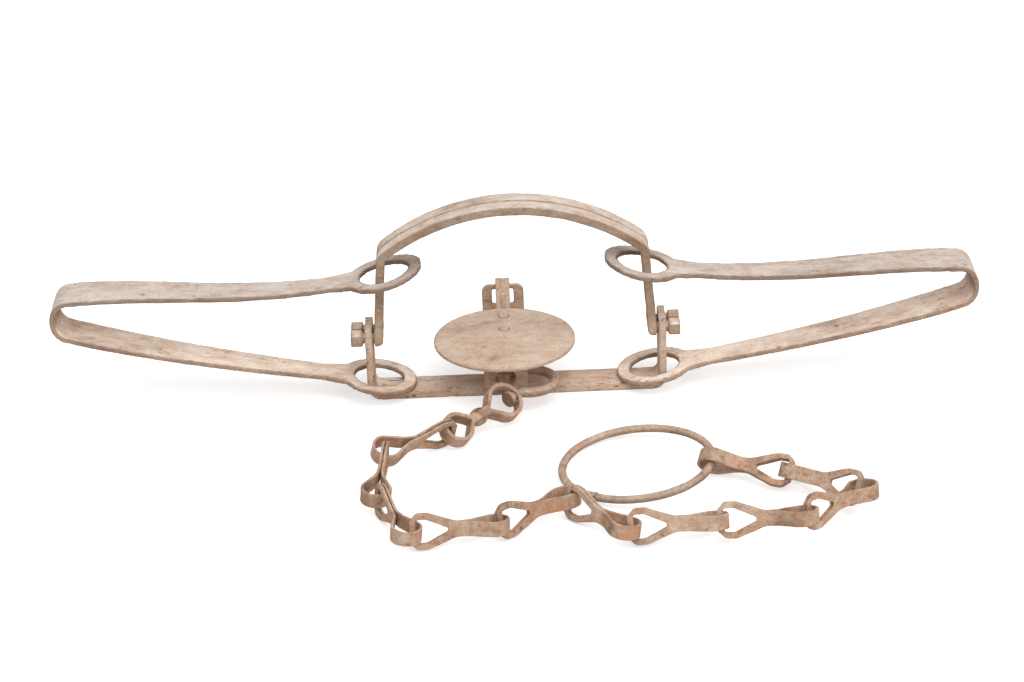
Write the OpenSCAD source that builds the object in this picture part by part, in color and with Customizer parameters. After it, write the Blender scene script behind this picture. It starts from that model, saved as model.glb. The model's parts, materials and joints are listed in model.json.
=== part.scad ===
// Double long-spring leghold trap with swivel, chain and end ring, in millimetres.
// X runs along the base bar, +Y away from the chain, +Z up.
// The origin is the middle of the base bar's underside.

/* [Base] */
// Length of the base bar over the outer faces of its posts
base_len = 149; // [130:1:170]
// Width of the base bar
base_w = 18; // [17:0.5:22]
// Thickness of the base bar and its posts
base_t = 4; // [3:0.25:5]
// Outside radius of the bend at the foot of each post
post_bend_r = 7; // [6:0.5:10]
// Height of the jaw pivots above the ground
pivot_z = 32.5; // [31:0.5:36]
// Height of the posts above the jaw pivots
post_over = 5.5; // [4.5:0.25:8]

/* [Jaws] */
// Depth of each jaw bar, front to back
jaw_w = 9.1; // [7.5:0.1:9.6]
// Thickness of each jaw bar
jaw_t = 4.5; // [3.5:0.25:5.5]
// Height of the top of the arch above the ground
arch_top = 101.4; // [92:0.2:112]
// Outside radius of the arch
arch_r = 105; // [95:1:130]
// Outside radius of the two shoulders
shoulder_r = 9; // [7:0.5:14]
// Space between the shoulders of the jaws and the line of the posts
arm_gap = 3.5; // [2:0.25:5]
// Space between the feet of the jaws and the posts
foot_gap = 0.8; // [0.5:0.1:1.5]
// Space between the closed jaws
jaw_gap = 0.3; // [0.2:0.1:1]
// Diameter of the pivot lugs
lug_d = 5.2; // [4:0.2:6]
// Length of the upset heads outside the posts
head_len = 6; // [4:0.5:7]
// Size of the upset heads across their flats
head_w = 7.4; // [6.5:0.1:8]

/* [Springs] */
// Thickness of the spring strip
spring_t = 2.6; // [2:0.1:3.2]
// Width of the strip at the bend
spring_w = 24; // [19:0.5:28]
// Width of the strip at the necks beside the eyes
neck_w = 14.5; // [11:0.5:17]
// Distance from the middle of the trap to the outermost point of a spring
spring_reach = 228; // [205:1:250]
// Outside radius of the bend
bend_r = 9.8; // [8:0.2:13]
// Height of the bend's centre above the ground
bend_z = 49; // [44:0.5:54]
// Outside diameter of the eyes
eye_d = 37.4; // [34:0.2:40]
// Diameter of the holes in the eyes
eye_hole = 24.2; // [23.4:0.2:26]
// Height of the upper eye's middle above the ground
upper_eye_z = 63.3; // [60:0.5:68]
// Slope of the raised upper eye, in degrees
upper_eye_slope = 10; // [4:1:14]
// Slope of the lower eye, in degrees
lower_eye_slope = 8; // [4:1:10]
// Slope of the lower arm where it leaves the bend, in degrees
lower_bend_slope = 17; // [12:1:22]
// Slope of the upper arm where it leaves the bend, in degrees
upper_bend_slope = 4; // [0:1:8]

/* [Cross-piece and trigger] */
// Distance of the cross-piece from the middle of the base bar
cross_x = -5.5; // [-10:0.5:0]
// Width of the cross-piece
cross_w = 22; // [20:0.5:26]
// Thickness of the cross-piece
cross_t = 3; // [2.5:0.25:3.5]
// Distance from the base bar's middle to the dog post
dog_post_y = 78; // [76:0.5:90]
// Height of the dog post
dog_post_h = 21; // [20:0.5:25]
// Width of the slot in the dog post
slot_w = 11; // [10:0.5:13]
// Height of the slot in the dog post
slot_h = 8.5; // [7.5:0.25:9.5]
// Height of the bar that is left above the slot
slot_bar = 2.4; // [2:0.1:3]
// Width of the dog
dog_w = 7.5; // [6:0.25:9]
// Thickness of the dog
dog_t = 2.2; // [1.8:0.1:2.6]
// Space between the tip of the dog and the catch
dog_reach_gap = 0.9; // [0.8:0.1:2]
// Diameter of the pan
pan_d = 70.5; // [62:0.5:74]
// Thickness of the pan
pan_t = 2; // [1.5:0.25:3]
// Height of the pan's top above the ground
pan_z = 27.5; // [25:0.5:29]
// Thickness of the pan shank
shank_t = 2.8; // [2:0.2:3.4]
// Width of the pan shank between the ears of its post
shank_w = 7; // [5:0.5:9]
// Width of the catch that holds the dog
catch_w = 3; // [2.4:0.2:5]
// Height of the catch above the pan
catch_h = 7; // [5:0.5:9]
// Distance from the base bar's middle to the pan pivot
pan_pivot_y = 25; // [23:0.5:27]
// Height of the pan pivot above the ground
pan_pivot_z = 13.5; // [13:0.5:15]
// Diameter of the pan's pivot pin
pin_d = 3.8; // [3:0.2:4.6]
// Diameter of the rivets
rivet_d = 5; // [4:0.25:6]

/* [Swivel] */
// Diameter of the swivel eye's rod
eye_rod = 5.2; // [4.4:0.2:6]
// Mean diameter of the swivel eye
eye_mean = 25; // [23:0.5:27]
// Height of the swivel eye above the ground
swivel_z = 11; // [11:0.25:12]
// Place of the shank round the swivel eye, in degrees
shank_at = 250; // [240:1:256]
// Distance from the swivel eye's rod to the middle of the chain loop
bow_len = 46; // [44:0.5:52]
// Outside radius of the bow's crown
crown_r = 9.5; // [8.5:0.25:10]
// Thickness of the bow's strip
bow_t = 2.3; // [1.8:0.1:2.6]

/* [Chain] */
// Thickness of one leaf of a link
leaf_t = 1.5; // [1.3:0.1:1.8]
// Space between the two leaves of a link
leaf_gap = 0.3; // [0.2:0.1:0.6]
// Width of a link at its neck
link_w = 7.2; // [6:0.2:7.6]
// Distance from a link's crossbar to the middle of its loop
link_len = 37; // [35:0.5:42]
// Inside radius of a link's loop
loop_ri = 5.8; // [5.6:0.1:6.6]
// Width of a link over its eye
link_eye_w = 17; // [16.4:0.2:19]
// Width of the hole in a link's eye
link_hole_w = 11.4; // [11:0.2:11.8]
// Width of a link's crossbar
crossbar_w = 3; // [2.6:0.1:3.4]
// Space between a crossbar and the loop that holds it
seat_gap = 0.55; // [0.5:0.05:0.9]
// Diameter of the end ring's rod
ring_rod = 4; // [3.4:0.2:4.2]
// Mean diameter of the end ring
ring_mean = 71; // [60:1:80]

/* [Hidden] */
$fn = 64;
// Running clearance of lugs, pins and curls, on the radius
run_gap = 0.08;
// Space between pieces that lie on each other but move apart
rest_gap = 0.3;
// Points on each arm of a spring, and on each bend of a strip
arm_steps = 14;
bend_steps = 6;

LINKS = 11;
function link_name(i) = str("link_", i < 9 ? "0" : "", i + 1);

// Headings, rises and leans of the bow and the links as they lie, in degrees.
// A link with no lean stands on edge, and a negative lean tips its left side down.
bow_yaw = -134;
bow_pitch = -2.7;
bow_lean = -40;
link_yaw = [-147, -96, -69, 5, 35, -49, -1, -9, 41, 136, 158];
link_pitch = [2, -2, 0, 0, 0, 0, 3, 6, -4, -6, 0];
link_lean = [-21, -6, -7, -13, -11, -12, -19, -16, -10, 30, 57];
ring_yaw = 170;

// Base and jaws
post_x = (base_len - base_t) / 2;
post_top = pivot_z + post_over;
jaw_half = base_len / 2 - base_t - arm_gap;
foot_half = base_len / 2 - base_t - foot_gap;
foot_top = pivot_z + jaw_w / 2;
pivot_y = (jaw_w + jaw_gap) / 2;
arch_z = arch_top - arch_r;
shoulder_x = jaw_half - shoulder_r;
shoulder_z = arch_z + sqrt(pow(arch_r - shoulder_r, 2) - pow(shoulder_x, 2));
head_round = pivot_y - jaw_gap;

// Springs
bend_x = spring_reach - bend_r;
mid_r = bend_r - spring_t / 2;
eye_r = eye_d / 2;
lower_eye_x = post_x - 3.8;
upper_eye_x = jaw_half - jaw_t / 2 - 1.3;
flare_angle = 35;
neck_run = 28;

// Cross-piece and trigger
cross_z = base_t + cross_t / 2;
cross_front_y = -base_w / 2 - rest_gap - cross_t;
dog_axis_z = dog_post_h - slot_bar / 2;
curl_ri = norm([slot_bar, cross_t]) / 2 + rest_gap;
curl_ro = curl_ri + dog_t;
pan_r = pan_d / 2;
pan_under = pan_z - pan_t;
catch_y = pan_r + 0.4;
dog_len = dog_post_y - catch_y - shank_t - dog_reach_gap;
dog_fall = asin((dog_axis_z - cross_t - rest_gap) / norm([dog_len, curl_ri])) + atan(curl_ri / dog_len);
knuckle_r = pin_d / 2 + 2.4;
ear_gap = 0.4;
ear_t = 2.2;
pan_rivet_y = [11, pan_pivot_y + 1];

// Swivel
swivel_hole_r = eye_rod / 2 + 1.9;
eye_side = -25;
eye_centre = [cross_x, cross_front_y + cross_t / 2, swivel_z]
    + eye_mean / 2 * [cos(eye_side), sin(eye_side), 0];
bow_start = eye_centre + eye_mean / 2 * [cos(shank_at), sin(shank_at), 0];
bow_gap = 1;
crown_s = eye_rod / 2 + bow_gap;
crown_x = crown_s + crown_r;
shank_r = 2.6;
bow_w = link_w;
bow_taper = 1.5;
bow_rivet_x = (crown_x + bow_len + bow_taper * (crown_r - bow_t - loop_ri)) / 2;

// Chain
loop_ro = loop_ri + leaf_t;
pair_t = 2 * leaf_t + leaf_gap;
taper = 2.2;

// Shared functions
function unit(v) = v / norm(v);
function last(list) = list[len(list) - 1];
function bezier(p, t) =
    pow(1 - t, 3) * p[0] + 3 * t * pow(1 - t, 2) * p[1] + 3 * t * t * (1 - t) * p[2] + pow(t, 3) * p[3];
function bezier_path(p, n) = [for (i = [0 : n]) bezier(p, i / n)];

// Points of a rounded corner at b, on the way from a to c
function corner(a, b, c, r) =
    let (u = unit(a - b), v = unit(c - b), half = acos(u * v) / 2)
    let (o = b + unit(u + v) * r / sin(half), p = b + u * r / tan(half), q = b + v * r / tan(half))
    let (from = atan2(p[1] - o[1], p[0] - o[0]), to = atan2(q[1] - o[1], q[0] - o[0]))
    let (turn = (to - from + 540) % 360 - 180)
    [for (i = [0 : bend_steps]) let (a = from + turn * i / bend_steps) o + r * [cos(a), sin(a)]];
function rounded(points, r) = concat(
    [points[0]],
    [for (i = [1 : len(points) - 2]) each corner(points[i - 1], points[i], points[i + 1], r)],
    [last(points)]);

// The outline of a strip of thickness t along a path
function side(path, d) = [
    for (i = [0 : len(path) - 1])
    let (along = unit(path[min(i + 1, len(path) - 1)] - path[max(i - 1, 0)]))
    path[i] + d * [-along[1], along[0]]];
function reversed(list) = [for (i = [len(list) - 1 : -1 : 0]) list[i]];
module strip(path, t) {
    polygon(concat(side(path, t / 2), reversed(side(path, -t / 2))));
}

// Turning of the bow or a link: lean first, then rise, then heading
function heading(yaw, pitch) = [cos(pitch) * cos(yaw), cos(pitch) * sin(yaw), sin(pitch)];
function width_axis(yaw, pitch, lean) =
    cos(lean) * [-sin(pitch) * cos(yaw), -sin(pitch) * sin(yaw), cos(pitch)]
    - sin(lean) * [-sin(yaw), cos(yaw), 0];
bow_axis = width_axis(bow_yaw, bow_pitch, bow_lean);
function link_dir(i) = heading(link_yaw[i], link_pitch[i]);
function link_axis(i) = i < 0 ? bow_axis : width_axis(link_yaw[i], link_pitch[i], link_lean[i]);

// A crossbar hangs in the loop before it, drawn along its own link until it seats
function skew(i, v) = link_w / 2 * abs(link_axis(i - 1) * v) / (link_axis(i - 1) * link_axis(i));
function seat(i) =
    let (across = pair_t / 2 + skew(i, cross(link_axis(i), link_dir(i))))
    sqrt(loop_ri * loop_ri - across * across) - crossbar_w / 2 - skew(i, link_dir(i)) - seat_gap;
function loop_at(i) = i < 0
    ? bow_start + bow_len * heading(bow_yaw, bow_pitch)
    : crossbar_at(i) + link_len * link_dir(i);
function crossbar_at(i) = loop_at(i - 1) + seat(i) * link_dir(i);

// The end ring hangs in the last loop in the same way
ring_dir = [cos(ring_yaw), sin(ring_yaw), 0];
ring_tilt = acos(abs(link_axis(LINKS - 1) * [-sin(ring_yaw), cos(ring_yaw), 0]));
ring_room = loop_ri - ring_rod / 2 / cos(ring_tilt);
ring_skew = link_w / 2 * abs(link_axis(LINKS - 1) * ring_dir) / cos(ring_tilt);
ring_seat = sqrt(pow(ring_room, 2) - pow(link_w / 2 * tan(ring_tilt), 2)) - ring_skew - 1.4 * seat_gap;
ring_hold = loop_at(LINKS - 1) + ring_seat * ring_dir;
ring_drop = asin((ring_hold[2] - ring_rod / 2) / ring_mean);

// Round bar along X, Y or Z, from its middle
module bar_x(r, l) {
    rotate([0, 90, 0]) cylinder(r = r, h = l, center = true);
}
module bar_y(r, l) {
    rotate([90, 0, 0]) cylinder(r = r, h = l, center = true);
}
// A flat shape in XZ made thick along Y, and one in YZ made thick along X
module thick_y(t) {
    rotate([90, 0, 0]) linear_extrude(height = t, center = true) children();
}
module thick_x(t) {
    rotate([90, 0, 90]) linear_extrude(height = t, center = true) children();
}
module rivet(r, z0, z1, head_r, head_h) {
    translate([0, 0, z0]) cylinder(r = r, h = z1 - z0);
    translate([0, 0, z1]) intersection() {
        cylinder(r = head_r, h = head_h);
        translate([0, 0, head_h - head_r * 1.4]) sphere(r = head_r * 1.4);
    }
}

// Base bar with its two posts
module base_bar() {
    bar = [[-post_x, post_top], [-post_x, base_t / 2], [post_x, base_t / 2], [post_x, post_top]];
    color("#a58f7c") difference() {
        thick_y(base_w) strip(rounded(bar, post_bend_r - base_t / 2), base_t);
        for (y = [-pivot_y, pivot_y])
            translate([0, y, pivot_z]) bar_x(lug_d / 2 + run_gap, base_len + 2);
        translate([cross_x, base_w / 4, 0]) cylinder(r = rivet_d / 2, h = 3 * base_t, center = true);
    }
}

// Cross-piece: ear at the front, over the base bar, down to the ground, dog post at the back
module cross_piece() {
    ear_top = swivel_z + swivel_hole_r + 3;
    step_y = base_w / 2 + cross_t;
    run = [
        [cross_front_y + cross_t / 2, ear_top], [cross_front_y + cross_t / 2, cross_z],
        [step_y, cross_z], [step_y + 2 * cross_t, cross_t / 2],
        [dog_post_y, cross_t / 2], [dog_post_y, dog_post_h]];
    color("#a08a76") difference() {
        translate([cross_x, 0, 0]) thick_x(cross_w) strip(rounded(run, cross_t * 0.7), cross_t);
        translate([cross_x, cross_front_y, swivel_z]) bar_y(swivel_hole_r, 4 * cross_t);
        translate([cross_x - slot_w / 2, dog_post_y - cross_t, dog_post_h - slot_bar - slot_h])
            cube([slot_w, 2 * cross_t, slot_h]);
        translate([cross_x, base_w / 4, 0]) cylinder(r = rivet_d / 2, h = 6 * base_t, center = true);
        translate([cross_x, pan_pivot_y, 0]) cylinder(r = rivet_d / 2, h = 6 * base_t, center = true);
        post_corners(4);
        ear_corners(5);
    }
}
// Rounded top corners of the dog post and of the ear, as cutters
module round_corners(w, top, r, y, t) {
    for (s = [-1, 1]) translate([cross_x + s * (w / 2 - r), y, top - r]) difference() {
        translate([s > 0 ? 0 : -2 * r, -t / 2, 0]) cube([2 * r, t, 2 * r]);
        bar_y(r, 2 * t);
    }
}
module post_corners(r) {
    round_corners(cross_w, dog_post_h, r, dog_post_y, 3 * cross_t);
}
module ear_corners(r) {
    round_corners(cross_w, swivel_z + swivel_hole_r + 3, r, cross_front_y, 3 * cross_t);
}

module base_rivet() {
    color("#8f7a68") translate([cross_x, base_w / 4, 0])
        rivet(rivet_d / 2 - run_gap / 4, 0, base_t + cross_t, rivet_d * 0.8, 1.8);
}

// Closed outline of a jaw, drawn in by the bar's thickness for its inner side
module jaw_blank(inset, foot) {
    translate([0, arch_z]) intersection() {
        circle(r = arch_r - inset, $fn = 180);
        polygon([[0, 0], 2 * [shoulder_x, shoulder_z - arch_z], 2 * [-shoulder_x, shoulder_z - arch_z]]);
    }
    for (s = [-1, 1]) translate([s * shoulder_x, shoulder_z]) circle(r = shoulder_r - inset);
    leg = [[foot_half - inset, foot], [foot_half - inset, foot_top], [jaw_half - inset, shoulder_z]];
    polygon(concat(leg, [for (p = reversed(leg)) [-p[0], p[1]]]));
    polygon([
        [-shoulder_x, shoulder_z], [0, shoulder_z - 1],
        [shoulder_x, shoulder_z], [0, arch_z + arch_r / 2]]);
}
// A jaw about its own pivot line: arch, round elbows, splayed legs, turned feet, lugs and upset heads
module jaw() {
    head_x = base_len / 2 + 1;
    foot_r = 0.46 * jaw_w;
    translate([0, 0, -pivot_z]) thick_y(jaw_w) difference() {
        jaw_blank(0, pivot_z);
        jaw_blank(jaw_t, pivot_z - jaw_w);
    }
    for (s = [-1, 1]) {
        translate([s * (foot_half - jaw_t / 2), 0, 0]) intersection() {
            bar_x(jaw_w / 2, jaw_t);
            translate([s * (foot_r - jaw_t / 2), 0, 0]) bar_y(foot_r, 2 * jaw_w);
        }
        translate([s * (foot_half + head_x) / 2, 0, 0]) bar_x(lug_d / 2, head_x - foot_half + jaw_t);
        translate([s * (head_x + head_len / 2), 0, 0]) intersection() {
            cube([head_len, head_w, head_w], center = true);
            bar_x(head_round, head_len);
        }
    }
}
module front_jaw() {
    color("#9c8672") translate([0, -pivot_y, pivot_z]) jaw();
}
module rear_jaw() {
    color("#a89280") translate([0, pivot_y, pivot_z]) jaw();
}

// What is cut away round the plan of one spring arm: ring eye, flared neck and widening strip
module arm_waste(eye_x) {
    flare = (eye_r - spring_t / 2) * [cos(flare_angle), sin(flare_angle)];
    half = [
        [eye_x + flare[0], flare[1]], [eye_x + neck_run, neck_w / 2],
        [bend_x - bend_r, spring_w / 2], [bend_x + 3 * bend_r, spring_w / 2]];
    difference() {
        translate([eye_x - eye_d, -2 * eye_d, -bend_r]) cube([bend_x + eye_d, 4 * eye_d, 3 * bend_z]);
        translate([eye_x, 0, -2 * bend_r]) cylinder(r = eye_r, h = 4 * bend_z);
        translate([0, 0, -2 * bend_r]) linear_extrude(height = 4 * bend_z)
            polygon(concat(half, [for (p = reversed(half)) [p[0], -p[1]]]));
    }
}
// Bend between the arms, parted in mid-thickness, where the two arms flex on each other
bend_low = lower_bend_slope - 90;
bend_high = 90 - upper_bend_slope;
bend_lap = 3;
function bend_arc(r, from, to) = [
    for (i = [0 : 2 * arm_steps])
    let (a = from + (to - from) * i / (2 * arm_steps))
    [bend_x, bend_z] + r * [cos(a), sin(a)]];
function after_first(p) = [for (i = [1 : len(p) - 1]) p[i]];
// One arm of a spring: the strip of its side view, cut to its plan and bored for the jaw feet
module spring_arm(profile, eye_x) {
    difference() {
        thick_y(2 * eye_d) polygon(profile);
        arm_waste(eye_x);
        translate([eye_x, 0, -bend_r]) cylinder(r = eye_hole / 2, h = 3 * bend_z);
    }
}
// Middle line of an arm from the tip of its eye, with its slope there, to the bend, with its slope there
function arm_path(tip, out, start, back) =
    let (reach = (start[0] - tip[0]) / 3)
    bezier_path([tip, tip + reach * out, start - reach * back, start], arm_steps);

module spring_lower() {
    path = arm_path(
        [lower_eye_x - eye_r, base_t + rest_gap + spring_t / 2], [cos(lower_eye_slope), sin(lower_eye_slope)],
        bend_arc(mid_r, bend_low, bend_high)[0], [cos(lower_bend_slope), sin(lower_bend_slope)]);
    spring_arm(concat(
        side(path, spring_t / 2), after_first(bend_arc(bend_r - spring_t, bend_low, bend_high - bend_lap)),
        bend_arc(mid_r - run_gap / 2, bend_high - bend_lap, bend_low), reversed(side(path, -spring_t / 2))),
        lower_eye_x);
}
module spring_upper() {
    out = [cos(upper_eye_slope), -sin(upper_eye_slope)];
    path = arm_path(
        [upper_eye_x, upper_eye_z] - eye_r * out, out,
        bend_arc(mid_r, bend_high, bend_low)[0], [cos(upper_bend_slope), -sin(upper_bend_slope)]);
    spring_arm(concat(
        side(path, spring_t / 2), after_first(bend_arc(bend_r, bend_high, bend_low + bend_lap)),
        bend_arc(mid_r + run_gap / 2, bend_low + bend_lap, bend_high), reversed(side(path, -spring_t / 2))),
        upper_eye_x);
}
module left_spring_lower() {
    color("#b09a87") mirror([1, 0, 0]) spring_lower();
}
module left_spring_upper() {
    color("#a8978b") mirror([1, 0, 0]) spring_upper();
}
module right_spring_lower() {
    color("#b09a87") spring_lower();
}
module right_spring_upper() {
    color("#a8978b") spring_upper();
}

// Dog: curled over the slot's bar, lying forward on the cross-piece
module dog() {
    curl_open = 60;
    color("#b7a08a") translate([cross_x, dog_post_y, dog_axis_z]) {
        rotate([90, 0, 90]) rotate([0, 0, -180 + dog_fall - 20]) rotate_extrude(angle = -360 + curl_open)
            translate([curl_ri, -dog_w / 2]) square([dog_t, dog_w]);
        rotate([dog_fall, 0, 0]) translate([-dog_w / 2, -dog_len, curl_ri])
            cube([dog_w, dog_len, dog_t]);
    }
}

// Pan with two rivet holes
module pan() {
    color("#c4ab95") difference() {
        translate([cross_x, 0, pan_under]) cylinder(r = pan_r, h = pan_t, $fn = 128);
        for (y = pan_rivet_y) translate([cross_x, y, pan_under - 1]) cylinder(r = rivet_d / 2, h = pan_t + 2);
    }
}
module pan_rivets() {
    color("#b49c86") for (y = pan_rivet_y)
        translate([cross_x, y, pan_under - shank_t])
            cylinder(r = rivet_d / 2 - run_gap / 4, h = shank_t + pan_t);
}
// Shank: bar under the pan, knuckle on the pin, catch behind the pan
module pan_shank() {
    bar_z = pan_under - shank_t;
    color("#a68f7b") difference() {
        translate([cross_x, 0, 0]) union() {
            translate([-shank_w / 2, 4, bar_z]) cube([shank_w, catch_y + shank_t - 4, shank_t]);
            translate([0, pan_pivot_y, pan_pivot_z]) bar_x(knuckle_r, shank_w);
            translate([-shank_w / 2, pan_pivot_y - knuckle_r, pan_pivot_z])
                cube([shank_w, 2 * knuckle_r, bar_z - pan_pivot_z]);
            translate([-catch_w / 2, catch_y, bar_z]) cube([catch_w, shank_t, shank_t + pan_t + catch_h]);
        }
        translate([cross_x, pan_pivot_y, pan_pivot_z]) bar_x(pin_d / 2 + run_gap, 2 * shank_w);
        for (y = pan_rivet_y) translate([cross_x, y, bar_z - 1]) cylinder(r = rivet_d / 2, h = shank_t + 2);
    }
}
module pan_post() {
    out = shank_w / 2 + ear_gap;
    ear_r = pin_d / 2 + 2.6;
    color("#98826f") difference() {
        translate([cross_x, pan_pivot_y, 0]) {
            translate([-out - ear_t, -6, cross_t]) cube([2 * (out + ear_t), 12, ear_t]);
            for (s = [-1, 1]) translate([s * (out + ear_t / 2), 0, 0]) {
                translate([-ear_t / 2, -ear_r, cross_t]) cube([ear_t, 2 * ear_r, pan_pivot_z - cross_t]);
                translate([0, 0, pan_pivot_z]) bar_x(ear_r, ear_t);
            }
        }
        translate([cross_x, pan_pivot_y, pan_pivot_z]) bar_x(pin_d / 2, 4 * shank_w);
        translate([cross_x, pan_pivot_y, 0]) cylinder(r = rivet_d / 2, h = 6 * cross_t, center = true);
    }
}
module pan_post_rivet() {
    color("#8f7a68") translate([cross_x, pan_pivot_y, 0])
        rivet(rivet_d / 2 - run_gap / 4, 0, cross_t + ear_t, rivet_d * 0.62, 1.1);
}
module pan_pin() {
    pin_len = shank_w + 2 * (ear_gap + ear_t);
    head_h = 1.6;
    color("#8f7a68") translate([cross_x, pan_pivot_y, pan_pivot_z]) {
        bar_x(pin_d / 2 - run_gap / 4, pin_len);
        for (s = [-1, 1]) translate([s * (pin_len + head_h) / 2, 0, 0]) bar_x(pin_d / 2 + 1, head_h);
    }
}

// Swivel eye: a rod ring with a shank that is headed inside the bow
module swivel_eye() {
    head_r = shank_r + 1.6;
    head_at = crown_x - sqrt(pow(crown_r - bow_t, 2) - head_r * head_r) + rest_gap;
    color("#9a7f69") {
        translate(eye_centre) rotate_extrude() translate([eye_mean / 2, 0]) circle(r = eye_rod / 2);
        translate(bow_start) rotate([0, -bow_pitch, bow_yaw]) rotate([0, 90, 0]) {
            cylinder(r = shank_r, h = head_at + 1);
            translate([0, 0, head_at]) cylinder(r = head_r, h = 2.4);
        }
    }
}
// A loop with straight sides that meet at a point behind it and run into the round a little below its edge
module teardrop(r, reach) {
    side = 0.98 * asin(r / reach);
    d = reach * sin(side);
    circle(r = r);
    polygon([[-d * sin(side), d * cos(side)], [-reach, 0], [-d * sin(side), -d * cos(side)]]);
}
// Bow: crown round the shank's head, pinched legs, and the loop for the first link
module swivel_bow() {
    loop_r = loop_ri + bow_t;
    pair = 2 * bow_t + leaf_gap;
    color("#a3866f") translate(bow_start) rotate([bow_lean, -bow_pitch, bow_yaw]) difference() {
        linear_extrude(height = bow_w, center = true) difference() {
            union() {
                translate([crown_x, 0]) mirror([1, 0]) teardrop(crown_r, bow_taper * crown_r);
                translate([bow_len, 0]) teardrop(loop_r, bow_taper * loop_r);
                translate([crown_x, -pair / 2]) square([bow_len - crown_x, pair]);
            }
            translate([crown_x, 0]) mirror([1, 0]) teardrop(crown_r - bow_t, bow_taper * (crown_r - bow_t));
            translate([bow_len, 0]) teardrop(loop_ri, bow_taper * loop_ri);
        }
        bar_x(shank_r + 0.35, 2 * crown_x);
        translate([bow_rivet_x, 0, 0]) bar_y(rivet_d / 2, 4 * bow_t);
    }
}
module swivel_rivet() {
    half = bow_t + leaf_gap / 2;
    color("#b08a70") translate(bow_start) rotate([bow_lean, -bow_pitch, bow_yaw])
        translate([bow_rivet_x, 0, 0]) {
            bar_y(rivet_d / 2 - run_gap / 4, 2 * half);
            for (s = [-1, 1]) rotate([s * 90, 0, 0])
                rivet(rivet_d / 4, 0, half + run_gap / 4, rivet_d * 0.9, 1.9);
        }
}

// Side of a link: two leaves, parted by a fine slit, spread into a round loop
module link_side() {
    difference() {
        union() {
            translate([link_len, 0]) teardrop(loop_ro, taper * loop_ro);
            translate([-crossbar_w / 2, -pair_t / 2]) square([link_len - loop_ro, pair_t]);
        }
        translate([link_len, 0]) teardrop(loop_ri, taper * loop_ri);
        translate([-crossbar_w, -leaf_gap / 2]) square([link_len, leaf_gap]);
    }
}
// Face of a link: pointed eye with its crossbar, neck and loop strip
module link_face() {
    eye_full = 7;
    eye_neck = 20;
    hole_end = 16;
    cut = 3.5;
    outer = [
        [-crossbar_w / 2, link_eye_w / 2 - cut], [cut - crossbar_w / 2, link_eye_w / 2],
        [eye_full, link_eye_w / 2], [eye_neck, link_w / 2], [link_len + loop_ro + 1, link_w / 2]];
    hole = [[crossbar_w / 2, link_hole_w / 2], [eye_full - 1, link_hole_w / 2], [hole_end, 1]];
    difference() {
        polygon(concat(outer, [for (p = reversed(outer)) [p[0], -p[1]]]));
        polygon(concat(hole, [for (p = reversed(hole)) [p[0], -p[1]]]));
    }
}
module chain_link(i) {
    color(i % 2 == 0 ? "#9d7a60" : "#a78468")
        translate(crossbar_at(i)) rotate([link_lean[i], -link_pitch[i], link_yaw[i]]) intersection() {
            linear_extrude(height = 2 * link_eye_w, center = true) link_side();
            thick_y(4 * loop_ro) link_face();
        }
}

// End ring: one side in the last loop, the other on the ground
module end_ring() {
    color("#a08873") translate(ring_hold) rotate([0, ring_drop, ring_yaw])
        translate([ring_mean / 2, 0, 0]) rotate_extrude($fn = 120) translate([ring_mean / 2, 0])
            circle(r = ring_rod / 2);
}

base_bar();
cross_piece();
base_rivet();
front_jaw();
rear_jaw();
left_spring_lower();
left_spring_upper();
right_spring_lower();
right_spring_upper();
dog();
pan();
pan_shank();
pan_rivets();
pan_post();
pan_post_rivet();
pan_pin();
swivel_eye();
swivel_bow();
swivel_rivet();
for (i = [0 : LINKS - 1]) chain_link(i);
end_ring();
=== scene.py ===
# %% [markdown]
# # An old long-spring trap, dressed for the camera
# The real thing is an iron trap that has lain outdoors for decades: forged bars, two folded leaf
# springs, a round pan and a chain of folded strip links, all under the same dry, pale brown rust.
# The solids come from CAD as a fixed frame. Here they get a worn skin, rust and light, and they are never moved:
# each new piece, except the springs, rides on the CAD body that carries it.

# %% Load the imported solids
import json
import math

import bmesh
import bpy
import numpy as np
from mathutils import Matrix, Vector


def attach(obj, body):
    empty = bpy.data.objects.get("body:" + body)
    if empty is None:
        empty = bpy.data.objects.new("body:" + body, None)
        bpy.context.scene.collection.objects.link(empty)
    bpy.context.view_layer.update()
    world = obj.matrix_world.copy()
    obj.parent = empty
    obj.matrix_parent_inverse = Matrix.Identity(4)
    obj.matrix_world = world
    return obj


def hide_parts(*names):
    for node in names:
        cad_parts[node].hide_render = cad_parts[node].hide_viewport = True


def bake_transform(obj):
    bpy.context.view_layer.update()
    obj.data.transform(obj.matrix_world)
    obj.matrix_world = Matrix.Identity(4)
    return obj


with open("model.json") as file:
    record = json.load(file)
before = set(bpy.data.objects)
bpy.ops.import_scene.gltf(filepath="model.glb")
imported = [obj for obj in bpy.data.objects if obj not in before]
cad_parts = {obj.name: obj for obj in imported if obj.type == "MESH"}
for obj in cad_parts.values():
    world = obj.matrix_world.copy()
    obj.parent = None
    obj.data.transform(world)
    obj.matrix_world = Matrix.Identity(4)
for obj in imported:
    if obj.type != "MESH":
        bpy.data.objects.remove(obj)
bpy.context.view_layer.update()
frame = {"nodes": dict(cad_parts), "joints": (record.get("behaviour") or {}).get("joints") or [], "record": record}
MM = 0.001
scene = bpy.context.scene

# %% [markdown]
# ## Rust
# Rust on old iron is not one colour. Seen close it is a dusty tan crust with browner patches, a
# few orange blooms, dark pits and rubbed edges. An image could show that, but noise textures do
# it without any file and at any size, so each finish is one node tree read in Object coordinates.
# Three numbers stored on the mesh say where the surface is rubbed ("edge"), eaten ("pit"), and how far it looks
# up; faces that look up are paler from dust and from painted light, and the others get painted shade.

# %% Tones and a small node helper
def tone(red, green, blue):
    """A colour as seen on a screen, 0 to 255, turned into the linear colour that shaders use."""
    def linear(c):
        c /= 255
        return c / 12.92 if c <= 0.04045 else ((c + 0.055) / 1.055) ** 2.4
    return (linear(red), linear(green), linear(blue), 1.0)


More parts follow.
